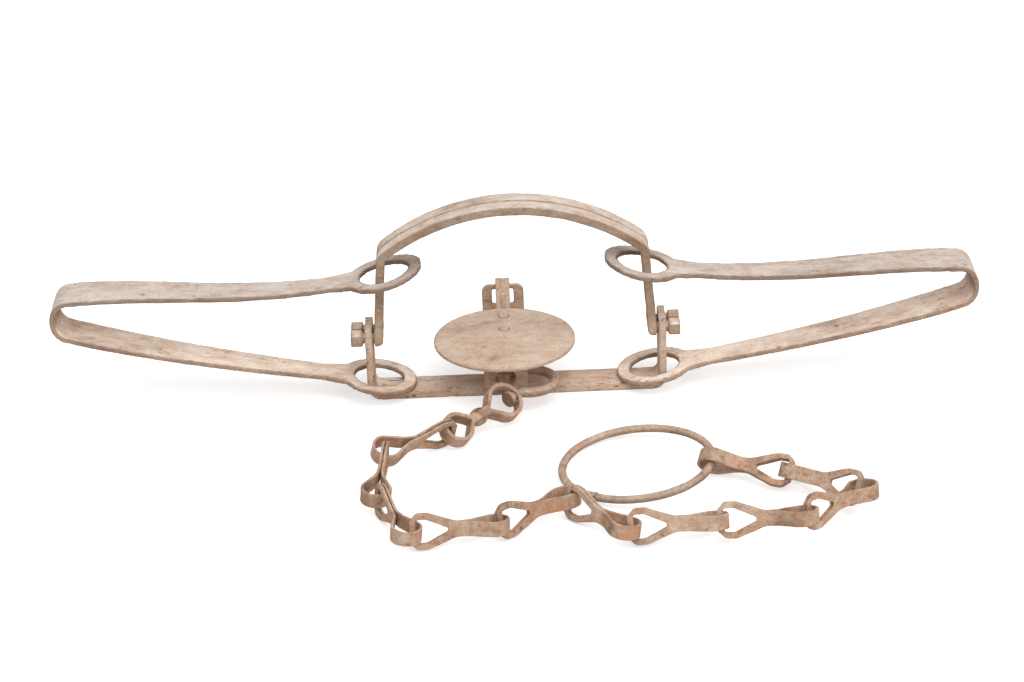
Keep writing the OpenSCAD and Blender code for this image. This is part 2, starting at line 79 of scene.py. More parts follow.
def put(tree, kind, values=None, **settings):
    """Adds a node, sets its properties, and sets or links its inputs by name or number."""
    node = tree.nodes.new(kind)
    for key, value in settings.items():
        setattr(node, key, value)
    for key, value in (values or {}).items():
        if isinstance(value, bpy.types.NodeSocket):
            tree.links.new(value, node.inputs[key])
        else:
            node.inputs[key].default_value = value
    return node


def ramp(tree, factor, stops):
    """A colour ramp through (place, colour) stops, driven by a factor."""
    node = put(tree, "ShaderNodeValToRGB", {0: factor})
    elements = node.color_ramp.elements
    while len(elements) < len(stops):
        elements.new(0.5)
    for element, (place, colour) in zip(elements, stops):
        element.position, element.color = place, colour
    return node.outputs["Color"]


def mixed(tree, factor, below, above, blend="MIX"):
    """Two colours mixed by a factor."""
    node = put(tree, "ShaderNodeMix", {0: factor}, data_type="RGBA", blend_type=blend)
    for socket, value in ((node.inputs[6], below), (node.inputs[7], above)):
        if isinstance(value, bpy.types.NodeSocket):
            tree.links.new(value, socket)
        else:
            socket.default_value = value
    return node.outputs[2]


def scaled(tree, value, low, high, out_low=0.0, out_high=1.0):
    """A number moved from one range to another, kept inside it."""
    keys = {0: value, 1: low, 2: high, 3: out_low, 4: out_high}
    return put(tree, "ShaderNodeMapRange", keys).outputs[0]


def maths(tree, kind, a, b):
    """One sum of two numbers, such as ADD or MULTIPLY."""
    return put(tree, "ShaderNodeMath", {0: a, 1: b}, operation=kind).outputs[0]


def times(tree, a, b):
    return maths(tree, "MULTIPLY", a, b)


def plus(tree, a, b):
    return maths(tree, "ADD", a, b)


# %% The rust finish
# Browner rust and painted shade on the faces that do not look up: the finish multiplies their colour by this.
SIDE_BROWN_AND_SHADE = (0.72, 0.66, 0.60, 1.0)
TONE_STOPS = (0.12, 0.36, 0.56, 0.8)
# Painted light lifts the shade under the upper parts: it is full below LOW_Z and gone above HIGH_Z, in metres.
HIGH_Z, LOW_Z = 0.058, 0.042
ROUGH_MOST, ROUGH_LEAST = 0.95, 0.72
GRAIN_HEIGHT = 0.00022


def rust(name, tones, bloom, bloom_share, edge, edge_share, pit, side=SIDE_BROWN_AND_SHADE,
         fleck_share=0.5, stretch=0.45, low_painted_light=None):
    """Dry rust: four tones from dark to dusty, orange bloom, rubbed edges, dark pits, fine grain.
    Faces that look up are paler, from dust and from painted light; the sides and undersides get browner rust and
    painted shade. The patches are drawn out along X by the stretch, as bars and strips were rolled that way.
    Painted light brightens what lies low, where upper parts cast shade."""
    material = bpy.data.materials.new(name)
    material.use_nodes = True
    tree = material.node_tree
    tree.nodes.clear()
    place = put(tree, "ShaderNodeTexCoord").outputs["Object"]
    drawn = put(tree, "ShaderNodeMapping",
                {"Vector": place, "Scale": (stretch, 1.0, 1.0)}).outputs[0]

    def noise(scale, detail=6.0, rough=0.6, twist=0.0, spot=place):
        keys = {"Vector": spot, "Scale": scale, "Detail": detail, "Roughness": rough,
                "Distortion": twist}
        return put(tree, "ShaderNodeTexNoise", keys).outputs["Fac"]

    patches = noise(38, 8, 0.66, 0.4, drawn)
    mottle = noise(210, 6, 0.68, 0.2, drawn)
    speck = noise(1500, 4, 0.7)
    cloud = plus(tree, patches, times(tree, mottle, 0.75))
    colour = ramp(tree, scaled(tree, cloud, 0.5, 1.25), list(zip(TONE_STOPS, tones)))
    patch = scaled(tree, noise(74, 6, 0.66, 0.5), 0.5, 0.66, 0.0, bloom_share)
    colour = mixed(tree, patch, colour, bloom)
    # Painted light: what lies low is brightened, standing in for light where the upper parts cast shade.
    if low_painted_light:
        height = put(tree, "ShaderNodeSeparateXYZ", {0: place}).outputs["Z"]
        low = scaled(tree, height, HIGH_Z, LOW_Z)
        colour = mixed(tree, low, colour, mixed(tree, 1.0, colour, low_painted_light, "MULTIPLY"))
    # Faces that look up keep the paler colour, from dust and painted light; the others are multiplied by the side
    # colour, browner rust and painted shade.
    dust = put(tree, "ShaderNodeAttribute", attribute_name="dust").outputs["Fac"]
    colour = mixed(tree, dust, mixed(tree, 1.0, colour, side, "MULTIPLY"), colour)
    flecks = scaled(tree, speck, 0.3, 0.7, 0.74, 1.2)
    fleck_colour = put(tree, "ShaderNodeCombineColor", {0: flecks, 1: flecks, 2: flecks}).outputs[0]
    colour = mixed(tree, 1.0, colour, fleck_colour, "MULTIPLY")
    rubbed = put(tree, "ShaderNodeAttribute", attribute_name="edge").outputs["Fac"]
    rub = times(tree, rubbed, scaled(tree, noise(230, 4), 0.3, 0.62, 0.25, edge_share))
    colour = mixed(tree, rub, colour, edge)
    eaten = put(tree, "ShaderNodeAttribute", attribute_name="pit").outputs["Fac"]
    colour = mixed(tree, times(tree, eaten, 0.75), colour, pit)
    dots = scaled(tree, noise(560, 5, 0.72, 0.3, drawn), 0.44, 0.35)
    where = scaled(tree, noise(52, 5, 0.65, 0.3, drawn), 0.42, 0.58, 0.0, fleck_share)
    colour = mixed(tree, times(tree, dots, where), colour, pit)

    dull = scaled(tree, mottle, 0.3, 0.7, ROUGH_MOST, ROUGH_LEAST)
    grain = plus(tree, speck, times(tree, noise(520, 5, 0.7), 1.6))
    bump = put(tree, "ShaderNodeBump",
               {"Height": grain, "Strength": 0.55, "Distance": GRAIN_HEIGHT})
    shader = put(tree, "ShaderNodeBsdfPrincipled",
                 {"Base Color": colour, "Roughness": dull, "Normal": bump.outputs[0]})
    shader.inputs["Specular IOR Level"].default_value = 0.35
    out = put(tree, "ShaderNodeOutputMaterial")
    tree.links.new(shader.outputs[0], out.inputs["Surface"])
    print("finish", name, len(tree.nodes), "nodes")
    return material


# %% Finishes of the trap
# In the finishes below, the colour after the pit colour is the side colour: browner rust and painted shade on the
# faces that do not look up.
DARK_PIT = tone(78, 59, 49)
# Side colour of the chain, trigger and rivet pieces: browner rust and painted shade on faces that do not look up.
LINK_SIDE_BROWN_AND_SHADE = (0.90, 0.86, 0.82, 1.0)
base_rust = rust(
    "base_bar_rust",
    (tone(156, 128, 109), tone(218, 191, 168), tone(236, 215, 195), tone(243, 229, 213)),
    tone(212, 162, 124), 0.4, tone(158, 126, 103), 0.6, tone(56, 43, 36),
    fleck_share=1.0, stretch=0.3)
bar_rust = rust(
    "forged_bar_rust",
    (tone(148, 124, 107), tone(198, 177, 159), tone(222, 205, 189), tone(236, 223, 209)),
    tone(196, 154, 122), 0.32, tone(140, 110, 89), 0.7, DARK_PIT, (0.50, 0.43, 0.37, 1.0), 0.6,
    # Painted light on the low parts of the jaws and post.
    low_painted_light=(1.28, 1.26, 1.24, 1.0))
spring_rust = rust(
    "spring_strip_rust",
    (tone(150, 128, 114), tone(195, 177, 164), tone(216, 200, 188), tone(229, 216, 205)),
    tone(184, 147, 120), 0.36, tone(126, 99, 82), 0.85, DARK_PIT, (0.47, 0.40, 0.345, 1.0), 0.5,
    # Painted light on the lower arms, in the shade of the upper arms.
    low_painted_light=(1.40, 1.35, 1.27, 1.0))
pan_rust = rust(
    "pan_sheet_rust",
    (tone(164, 134, 112), tone(208, 181, 159), tone(220, 196, 175), tone(229, 210, 191)),
    tone(203, 161, 129), 0.35, tone(158, 126, 102), 0.5, tone(118, 91, 74),
    fleck_share=0.6, stretch=0.8)
trigger_rust = rust(
    "trigger_strip_rust",
    (tone(134, 108, 88), tone(188, 160, 136), tone(212, 187, 163), tone(226, 207, 186)),
    tone(194, 146, 108), 0.3, tone(142, 112, 90), 0.5, DARK_PIT, LINK_SIDE_BROWN_AND_SHADE, stretch=1.0)
rivet_rust = rust(
    "rivet_iron_rust",
    (tone(116, 88, 70), tone(168, 136, 113), tone(195, 163, 139), tone(212, 185, 162)),
    tone(180, 122, 84), 0.4, tone(206, 178, 153), 0.4, DARK_PIT, LINK_SIDE_BROWN_AND_SHADE, stretch=1.0)
rod_rust = rust(
    "rod_iron_rust",
    (tone(112, 87, 71), tone(168, 142, 122), tone(192, 168, 148), tone(210, 190, 171)),
    tone(188, 132, 94), 0.5, tone(186, 160, 138), 0.25, DARK_PIT, (0.66, 0.60, 0.54, 1.0), 0.8, 1.0)
chain_rust = rust(
    "chain_strip_rust",
    (tone(110, 82, 65), tone(168, 138, 116), tone(193, 164, 142), tone(211, 188, 168)),
    tone(190, 128, 88), 0.6, tone(136, 101, 79), 0.65, tone(76, 55, 44), LINK_SIDE_BROWN_AND_SHADE, 0.8, 1.0)

# %% [markdown]
# ## A worn skin
# Forging leaves soft facets, and rust eats pits and swells the rest. A bump map would only fake that in the light,
# and it would leave no trace in the mesh. So one Geometry Nodes tree moves the points themselves, always inwards,
# so that wear makes no piece outgrow its solid. It also measures the surface: a point that stands out from the
# average of its neighbours is an edge, and the tree stores that as "edge". It also stores how far a face looks up
# at rest. The finish uses that for the pale dust that settled on what faces up as the trap lay there, for painted
# light on those faces, and for painted shade on the rest.

# %% The worn-iron node tree
def socket(tree, name, kind, default=None, out=False):
    side = "OUTPUT" if out else "INPUT"
    item = tree.interface.new_socket(name=name, in_out=side, socket_type=kind)
    if default is not None:
        item.default_value = default
    return item.identifier


def worn_tree():
    """Dents, crust and ragged pits pressed into a dense mesh, with edge, pit, and how far each face looks up, for
    dust and painted shade, stored.
    """
    tree = bpy.data.node_groups.new("worn_iron", "GeometryNodeTree")
    tree.is_modifier = True
    sizes = (("Dent depth", 0.00018), ("Dent size", 0.009), ("Crust depth", 0.00006),
             ("Crust size", 0.0012), ("Pit depth", 0.00022), ("Pit size", 0.0026),
             ("Pit share", 0.35), ("Seed", 0.0))
    ids = {"Geometry": socket(tree, "Geometry", "NodeSocketGeometry")}
    for name, size in sizes:
        ids[name] = socket(tree, name, "NodeSocketFloat", size)
    ids["Finish"] = socket(tree, "Finish", "NodeSocketMaterial")
    socket(tree, "Geometry", "NodeSocketGeometry", out=True)
    given = put(tree, "NodeGroupInput").outputs
    spot = put(tree, "GeometryNodeInputPosition").outputs[0]
    outward = put(tree, "GeometryNodeInputNormal").outputs[0]

    def vectors(kind, a, b, slot=1, out=0):
        return put(tree, "ShaderNodeVectorMath", {0: a, slot: b}, operation=kind).outputs[out]

    def noise(size, detail, shift):
        keys = {"Vector": spot, "W": plus(tree, given["Seed"], shift),
                "Scale": maths(tree, "DIVIDE", 1.0, size), "Detail": detail, "Roughness": 0.6}
        return put(tree, "ShaderNodeTexNoise", keys, noise_dimensions="4D").outputs[0]

    dents = scaled(tree, noise(given["Dent size"], 1.5, 0.0), 0.3, 0.7)
    dents = times(tree, dents, given["Dent depth"])
    crust = scaled(tree, noise(given["Crust size"], 2.0, 3.7), 0.3, 0.7)
    crust = times(tree, crust, given["Crust depth"])

    # Pits are Voronoi cells of varied size with a ragged outline, where a slow noise is high.
    ragged = put(tree, "ShaderNodeTexNoise",
                 {"Vector": spot, "Scale": maths(tree, "DIVIDE", 1.6, given["Pit size"])})
    shift = vectors("SUBTRACT", ragged.outputs["Color"], (0.5, 0.5, 0.5))
    shift = vectors("SCALE", shift, given["Pit size"], "Scale")
    moved = vectors("MULTIPLY", vectors("ADD", spot, shift), (0.6, 1.0, 1.0))
    cells = put(tree, "ShaderNodeTexVoronoi",
                {"Vector": moved, "W": given["Seed"],
                 "Scale": maths(tree, "DIVIDE", 1.0, given["Pit size"])},
                voronoi_dimensions="4D").outputs
    size = put(tree, "FunctionNodeSeparateColor", {0: cells["Color"]}).outputs[0]
    where = noise(times(tree, given["Pit size"], 7.0), 3.0, 9.1)
    limit = maths(tree, "SUBTRACT", 0.72, times(tree, given["Pit share"], 0.4))
    field = scaled(tree, where, limit, plus(tree, limit, 0.12))
    rim = plus(tree, 0.12, times(tree, size, 0.5))
    hole = put(tree, "ShaderNodeMapRange",
               {0: cells["Distance"], 1: rim, 2: times(tree, rim, 0.3), 3: 0.0, 4: 1.0},
               interpolation_type="SMOOTHSTEP")
    pit = times(tree, hole.outputs[0], field)
    depth = plus(tree, plus(tree, dents, crust), times(tree, pit, given["Pit depth"]))

    # An edge stands proud of the blurred surface, by a few hundredths of a millimetre or more.
    soft = put(tree, "GeometryNodeBlurAttribute", {"Iterations": 7}, data_type="FLOAT_VECTOR")
    tree.links.new(spot, next(s for s in soft.inputs if s.enabled and s.type == "VECTOR"))
    softened = next(s for s in soft.outputs if s.enabled)
    proud = vectors("DOT_PRODUCT", vectors("SUBTRACT", spot, softened), outward, out="Value")
    edge = scaled(tree, proud, 0.00003, 0.00022)

    # How far a face looks up at rest: the finish makes these faces paler, for dust and painted light, and paints
    # shade on the rest.
    upward = put(tree, "ShaderNodeSeparateXYZ", {0: outward}).outputs["Z"]
    dust = scaled(tree, upward, 0.1, 0.6)

    shape = given["Geometry"]
    for name, value in (("edge", edge), ("pit", pit), ("dust", dust)):
        store = put(tree, "GeometryNodeStoreNamedAttribute", {"Geometry": shape, "Name": name},
                    data_type="FLOAT", domain="POINT")
        tree.links.new(value, next(s for s in store.inputs if s.enabled and s.name == "Value"))
        shape = store.outputs[0]
    inward = vectors("SCALE", outward, times(tree, depth, -1.0), "Scale")
    shape = put(tree, "GeometryNodeSetPosition", {"Geometry": shape, "Offset": inward}).outputs[0]
    shape = put(tree, "GeometryNodeRealizeInstances", {0: shape}).outputs[0]
    painted = put(tree, "GeometryNodeSetMaterial", {"Geometry": shape, "Material": given["Finish"]})
    put(tree, "NodeGroupOutput", {0: painted.outputs[0]})
    return tree, ids


WORN, WORN_IDS = worn_tree()
print("worn iron inputs:", ", ".join(WORN_IDS))

# %% [markdown]
# ## From a solid to a worn piece
# A CAD mesh is long thin triangles, which no noise can bend. A copy is merged, and a voxel Remesh
# lays an even net over it that is fine enough for pits. One Smooth pass takes off the voxel steps
# and breaks the sharp edges, as use has done on the real bars. Then the worn tree runs, and the
# result is baked.

# %% Helpers that make a worn piece
def merged_copy(*names):
    """The solids of these nodes in one new mesh, with their loose triangles joined."""
    sheet = bmesh.new()
    for name in names:
        sheet.from_mesh(frame["nodes"][name].data)
    bmesh.ops.remove_doubles(sheet, verts=sheet.verts, dist=0.002 * MM)
    return sheet


def as_object(sheet, name):
    mesh = bpy.data.meshes.new(name)
    sheet.to_mesh(mesh)
    sheet.free()
    piece = bpy.data.objects.new(name, mesh)
    scene.collection.objects.link(piece)
    return piece


def add_worn(piece, finish, seed, **sizes):
    """The worn tree as the last modifier, with its named inputs set by identifier."""
    modifier = piece.modifiers.new("worn iron", "NODES")
    modifier.node_group = WORN
    modifier[WORN_IDS["Finish"]] = finish
    modifier[WORN_IDS["Seed"]] = float(seed)
    for name, size in sizes.items():
        modifier[WORN_IDS[name.replace("_", " ").capitalize()]] = float(size)


def baked(piece, name):
    """The evaluated piece as a plain mesh object, at the origin, with no modifiers left."""
    bpy.context.view_layer.update()
    graph = bpy.context.evaluated_depsgraph_get()
    mesh = bpy.data.meshes.new_from_object(
        piece.evaluated_get(graph), preserve_all_data_layers=True, depsgraph=graph)
    bpy.data.objects.remove(piece)
    done = bpy.data.objects.new(name, mesh)
    scene.collection.objects.link(done)
    mesh.polygons.foreach_set("use_smooth", [True] * len(mesh.polygons))
    print(name, len(mesh.polygons), "faces")
    return done


def body_of(node):
    return next(b for b, nodes in frame["record"]["behaviour"]["bodies"].items() if node in nodes)


def dressed(piece, body, *nodes):
    """The finished piece rides on its body and stands for its CAD nodes."""
    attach(piece, body)
    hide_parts(*nodes)
    return piece


def skinned(sheet, voxel, smooth):
    """An even net over a closed shape."""
    piece = as_object(sheet, "raw")
    net = piece.modifiers.new("even net", "REMESH")
    net.mode, net.voxel_size, net.use_smooth_shade = "VOXEL", voxel * MM, True
    ease = piece.modifiers.new("eased edges", "SMOOTH")
    ease.factor, ease.iterations = 0.5, smooth
    return piece


def worn_node(node, finish, voxel, smooth=4, seed=0, **sizes):
    piece = skinned(merged_copy(node), voxel, smooth)
    add_worn(piece, finish, seed, **sizes)
    return dressed(baked(piece, "worn_" + node), body_of(node), node)


# %% [markdown]
# ## Base, cross-piece and jaws
# These are forged flat bar: straight lengths with slightly uneven faces, rounded edges and a rust
# crust. The base is the most eaten, because it lay on the ground, so its pits are deeper and
# closer together.

# %% Forged bars
BAR_NET = 0.48
worn_node("base_bar", base_rust, BAR_NET, seed=1, dent_depth=0.22 * MM, pit_depth=0.3 * MM,
          pit_size=2.2 * MM, pit_share=0.9)
worn_node("cross_piece", base_rust, BAR_NET, seed=2, pit_depth=0.26 * MM, pit_share=0.7)
worn_node("front_jaw", bar_rust, BAR_NET, seed=3, dent_depth=0.24 * MM, pit_share=0.35)
worn_node("rear_jaw", bar_rust, BAR_NET, seed=4, dent_depth=0.24 * MM, pit_share=0.35)

# %% [markdown]
# ## Springs
# Each spring is one strip of steel, folded into a long V with a ring eye at each end. The CAD
# model parts it in the bend so that its two arms can turn on a hinge. Here both halves and a
# filling for the bend go into one copy, and the Remesh fuses them into one strip. The old upper
# arms are no longer straight: they sag at the neck of the eye and stand up towards the bend, by
# two or three millimetres. The solids keep straight arms, and a smooth curve through a few
# heights lifts the points of the finished strip.

# %% Springs
BEND_X, BEND_Z, BEND_R, STRIP_T, STRIP_W = 218.2, 49.0, 9.8, 2.6, 24.0
BEND_FROM, BEND_TO, BEND_ROWS = -76, 88, 42
SPRING_NET, SPRING_EASE = 0.5, 2


def bend_filling(sheet, side):
    """A curved block, as thick and wide as the strip, round the bend."""
    turns = [math.radians(a) for a in np.linspace(BEND_FROM, BEND_TO, BEND_ROWS)]
    rows = []
    for turn in turns:
        ring = []
        for r, y in ((BEND_R, -1), (BEND_R, 1), (BEND_R - STRIP_T, 1), (BEND_R - STRIP_T, -1)):
            x, z = BEND_X + r * math.cos(turn), BEND_Z + r * math.sin(turn)
            ring.append(sheet.verts.new(Vector((side * x, y * STRIP_W / 2, z)) * MM))
        rows.append(ring)
    made = [sheet.faces.new(rows[0]), sheet.faces.new(rows[-1][::-1])]
    for a, b in zip(rows, rows[1:]):
        made += [sheet.faces.new((a[i], b[i], b[(i + 1) % 4], a[(i + 1) % 4])) for i in range(4)]
    bmesh.ops.recalc_face_normals(sheet, faces=made)


# Millimetres from the trap's middle, and how far the upper arm is lifted there.
ARM_X = (58, 72, 90, 112, 150, 190, 212, 228)
ARM_BOW = (1.2, 0.3, -1.2, -2.2, -0.8, 1.6, 2.4, 2.6)


def bowed(mesh):
    """Lifts and lowers the upper arm along a smooth curve, and leaves the lower arm alone."""
    curve = np.poly1d(np.polyfit(ARM_X, ARM_BOW, 4))
    for vert in mesh.vertices:
        share = min(max((vert.co.z / MM - BEND_Z + BEND_R) / (2 * BEND_R), 0.0), 1.0)
        vert.co.z += curve(abs(vert.co.x) / MM) * share * share * (3 - 2 * share) * MM


def spring(name, side, seed):
    lower, upper = name + "_spring_lower", name + "_spring_upper"
    sheet = merged_copy(lower, upper)
    bend_filling(sheet, side)
    piece = skinned(sheet, SPRING_NET, SPRING_EASE)
    add_worn(piece, spring_rust, seed, dent_depth=0.16 * MM, pit_share=0.5, pit_depth=0.22 * MM)
    piece = baked(piece, "worn_" + name + "_spring")
    bowed(piece.data)
    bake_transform(piece)
    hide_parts(lower, upper)


spring("left", -1, 5)
spring("right", 1, 6)

# %% [markdown]
# ## Pan, post and dog
# The pan is a disc of thin sheet on a riveted shank, tilting on a pin. The dog is a narrow strip
# curled round the bar of its post. Thin pieces take a finer net, or the Remesh would lose their
# thickness.

# %% Trigger pieces
worn_node("pan", pan_rust, 0.42, seed=7, dent_depth=0.3 * MM, dent_size=14 * MM, pit_share=0.3,
          pit_depth=0.16 * MM)
worn_node("pan_shank", trigger_rust, 0.32, seed=8)
worn_node("pan_post", bar_rust, 0.32, seed=9)
worn_node("dog", trigger_rust, 0.3, seed=10)
RIVETS = ("base_rivet", "pan_rivets", "pan_post_rivet", "pan_pin", "swivel_rivet")
FIRST_RIVET_SEED = 11
for seed, node in enumerate(RIVETS, FIRST_RIVET_SEED):
    finish = pan_rust if node == "pan_rivets" else rivet_rust
    worn_node(node, finish, 0.25, seed=seed, dent_depth=0.16 * MM, dent_size=4 * MM)

# %% [markdown]
# ## Swivel
# A rod bent into an eye, with a headed shank that turns in a riveted bow of strip. The bow takes
# the first link of the chain.

# %% Swivel pieces
worn_node("swivel_eye", rod_rust, 0.34, seed=17)
worn_node("swivel_bow", chain_rust, 0.3, seed=18)

# %% [markdown]
# ## Chain links
# Every link is the same punched strip: two leaves with a pointed eye at one end, folded round
# into a loop at the other. It could be copied from the solid, but a folded strip is easy to draw
# as one net of faces: rows along the strip, columns across it, and no faces in the eye's hole.
# Solidify gives it thickness.

# %% One link, laid along X
LEAF_T, LEAF_GAP, LINK_LEN, LOOP_R, TAPER = 1.5, 0.3, 37.0, 6.55, 2.2
EYE_HALF, NECK_HALF, HOLE_HALF = 8.5, 3.6, 5.7
HOLE_FROM, HOLE_TO = 1.5, 16.0
LEAF_ROWS = (-1.5, -1, -0.3, 0.5, 1.5, 3, 4.4, 6, 7.5, 9, 11, 13, 14.6, 16, 17.5, 19)
KNEE_REACH, KNEE_ROWS, LOOP_ROWS = 4.2, 7, 25


def strip_path():
    """Middle line of the folded strip as (x, y), from the eye, round the loop, and back."""
    half_gap = (LEAF_GAP + LEAF_T) / 2
    slope = math.asin(1 / TAPER)
    knee = np.array([LINK_LEN - TAPER * LOOP_R + half_gap / math.tan(slope), half_gap])
    leaf = [(x, half_gap) for x in LEAF_ROWS]
    back, rise = np.array([-1, 0]), np.array([math.cos(slope), math.sin(slope)])
    bow = [tuple(knee + KNEE_REACH * ((t - 1) ** 2 * back + t * t * rise))
           for t in np.linspace(0.1, 0.9, KNEE_ROWS)]
    start = math.pi / 2 + slope
    loop = [(LINK_LEN + LOOP_R * math.cos(a), LOOP_R * math.sin(a))
            for a in np.linspace(start, 0, LOOP_ROWS)]
    half = leaf + bow + loop
    return half + [(x, -y) for x, y in half[-2::-1]]


def half_widths(x):
    """Outside and hole half-widths of the strip at a place along the link."""
    outside = np.interp(x, (-1.5, 2.0, 7.0, 20.0), (EYE_HALF - 3.5, EYE_HALF, EYE_HALF, NECK_HALF))
    hole = np.interp(x, (HOLE_FROM, 6.0, HOLE_TO), (HOLE_HALF, HOLE_HALF, 0.9))
    return float(outside), float(min(hole, 0.66 * outside))


def link_net():
    sheet = bmesh.new()
    rows = []
    for x, y in strip_path():
        outside, hole = half_widths(x)
        widths = (-outside, -(outside + hole) / 2, -hole, 0, hole, (outside + hole) / 2, outside)
        rows.append([x] + [sheet.verts.new(Vector((x, y, z)) * MM) for z in widths])
    for a, b in zip(rows, rows[1:]):
        inside = HOLE_FROM - 0.01 <= min(a[0], b[0]) and max(a[0], b[0]) <= HOLE_TO + 0.01
        for i in range(1, 7):
            if not (inside and i in (3, 4)):
                sheet.faces.new((a[i], b[i], b[i + 1], a[i + 1]))
    loose = [v for v in sheet.verts if not v.link_faces]
    bmesh.ops.delete(sheet, geom=loose, context="VERTS")
    bmesh.ops.recalc_face_normals(sheet, faces=sheet.faces)
    return sheet


link = as_object(link_net(), "one_link")
wall = link.modifiers.new("strip thickness", "SOLIDIFY")
wall.thickness, wall.offset, wall.use_even_offset = LEAF_T * MM, 0.0, True
eased = link.modifiers.new("eased edges", "BEVEL")
eased.width, eased.segments = 0.4 * MM, 2
eased.limit_method, eased.angle_limit = "ANGLE", math.radians(40)
fine = link.modifiers.new("fine net", "SUBSURF")
fine.subdivision_type, fine.levels, fine.render_levels = "SIMPLE", 2, 2
link = baked(link, "one_link")

# %% [markdown]
# ## Hanging the links
# The joints of the chain already say where each link is: a joint sits in the middle of the loop
# that holds the next crossbar, and its axis lies across that loop. Two joints in a row give a
# link's heading. One Geometry Nodes tree puts the link on a point, turns it by those two
# directions, and wears it.

# %% The chain tree
def hung(tree, shape, place, heading, width_axis):
    """A shape on one point, its X turned to the heading and its Z to the width axis, made real."""
    point = put(tree, "GeometryNodePoints", {"Count": 1, "Position": place}).outputs[0]
    turn = put(tree, "FunctionNodeAxesToRotation", {0: heading, 1: width_axis},
               primary_axis="X", secondary_axis="Z").outputs[0]
    laid = put(tree, "GeometryNodeInstanceOnPoints",
               {"Points": point, "Instance": shape, "Rotation": turn}).outputs[0]
    return put(tree, "GeometryNodeRealizeInstances", {0: laid}).outputs[0]


def chain_tree():
    tree = bpy.data.node_groups.new("chain_link", "GeometryNodeTree")
    tree.is_modifier = True
    ids = {"Geometry": socket(tree, "Geometry", "NodeSocketGeometry")}
    ids["Link"] = socket(tree, "Link", "NodeSocketObject")
    for name in ("Place", "Heading", "Width axis"):
        ids[name] = socket(tree, name, "NodeSocketVector")
    ids["Seed"] = socket(tree, "Seed", "NodeSocketFloat", 0.0)
    ids["Finish"] = socket(tree, "Finish", "NodeSocketMaterial")
    socket(tree, "Geometry", "NodeSocketGeometry", out=True)
    given = put(tree, "NodeGroupInput").outputs
    shape = put(tree, "GeometryNodeObjectInfo", {"Object": given["Link"]}).outputs["Geometry"]
    shape = hung(tree, shape, given["Place"], given["Heading"], given["Width axis"])
    wear = put(tree, "GeometryNodeGroup", node_tree=WORN)
    tree.links.new(shape, wear.inputs["Geometry"])
    for name in ("Seed", "Finish"):
        tree.links.new(given[name], wear.inputs[name])
    wear.inputs["Pit share"].default_value = 0.45
    wear.inputs["Dent size"].default_value = 6 * MM
    put(tree, "NodeGroupOutput", {0: wear.outputs[0]})
    return tree, ids


CHAIN, CHAIN_IDS = chain_tree()
print("chain link inputs:", ", ".join(CHAIN_IDS))

# %% Eleven links
joints = {j["child"]: j for j in frame["joints"]}
names = ["link_%02d" % n for n in range(1, 12)]
FIRST_LINK_SEED = 30.0
for count, name in enumerate(names):
    follower = (names + ["end_ring"])[count + 1]
    held, holds = Vector(joints[name]["pos_m"]), Vector(joints[follower]["pos_m"])
    heading = (holds - held).normalized()
    carrier = bpy.data.objects.new("raw_link", bpy.data.meshes.new("raw_link"))
    scene.collection.objects.link(carrier)
    modifier = carrier.modifiers.new("chain link", "NODES")
    modifier.node_group = CHAIN
    modifier[CHAIN_IDS["Link"]] = link
    modifier[CHAIN_IDS["Place"]] = holds - LINK_LEN * MM * heading
    modifier[CHAIN_IDS["Heading"]] = heading
    modifier[CHAIN_IDS["Width axis"]] = Vector(joints[follower]["axis"])
    modifier[CHAIN_IDS["Seed"]] = FIRST_LINK_SEED + count
    modifier[CHAIN_IDS["Finish"]] = chain_rust
    dressed(baked(carrier, "worn_" + name), name, name)
bpy.data.objects.remove(link)

# %% [markdown]
# ## End ring
# A length of round rod bent until its two ends meet. A torus would have no seam, so the ring is
# an arc that stops just short of a full turn, with a circle swept along it and capped ends, one
# end sprung up a little.

# %% The ring tree
RING_R, ROD_R, SEAM_STEP = 35.5, 2.0, 0.5
SEAM_DEG, SEAM_AT = 0.7, math.radians(-125)
RING_ROWS, ROD_SIDES = 460, 36


def ring_tree():
    tree = bpy.data.node_groups.new("end_ring_rod", "GeometryNodeTree")
    tree.is_modifier = True
    socket(tree, "Geometry", "NodeSocketGeometry")
    ids = {}
    for name, size in (("Ring radius", RING_R), ("Rod radius", ROD_R), ("Seam step", SEAM_STEP)):
        ids[name] = socket(tree, name, "NodeSocketFloat", size * MM)
    for name in ("Place", "Seam side", "Ring axis"):
        ids[name] = socket(tree, name, "NodeSocketVector")
    ids["Finish"] = socket(tree, "Finish", "NodeSocketMaterial")
    socket(tree, "Geometry", "NodeSocketGeometry", out=True)
    given = put(tree, "NodeGroupInput").outputs
    arc = put(tree, "GeometryNodeCurveArc",
              {"Resolution": RING_ROWS, "Radius": given["Ring radius"],
               "Start Angle": math.radians(SEAM_DEG / 2),
               "Sweep Angle": math.radians(360 - SEAM_DEG)}).outputs["Curve"]
    along = put(tree, "GeometryNodeSplineParameter").outputs["Factor"]
    lift = put(tree, "ShaderNodeMapRange", {0: along, 1: 0.97, 2: 1.0, 3: 0.0, 4: 1.0},
               interpolation_type="SMOOTHSTEP").outputs[0]
    step = times(tree, lift, given["Seam step"])
    step = put(tree, "ShaderNodeCombineXYZ", {"Z": step}).outputs[0]
    arc = put(tree, "GeometryNodeSetPosition", {"Geometry": arc, "Offset": step}).outputs[0]
    rod = put(tree, "GeometryNodeCurvePrimitiveCircle",
              {"Resolution": ROD_SIDES, "Radius": given["Rod radius"]}).outputs["Curve"]
    shape = put(tree, "GeometryNodeCurveToMesh",
                {"Curve": arc, "Profile Curve": rod, "Fill Caps": True}).outputs[0]
    shape = hung(tree, shape, given["Place"], given["Seam side"], given["Ring axis"])
    wear = put(tree, "GeometryNodeGroup", node_tree=WORN)
    tree.links.new(shape, wear.inputs["Geometry"])
    tree.links.new(given["Finish"], wear.inputs["Finish"])
    wear.inputs["Seed"].default_value = 50.0
    put(tree, "NodeGroupOutput", {0: wear.outputs[0]})
    return tree, ids


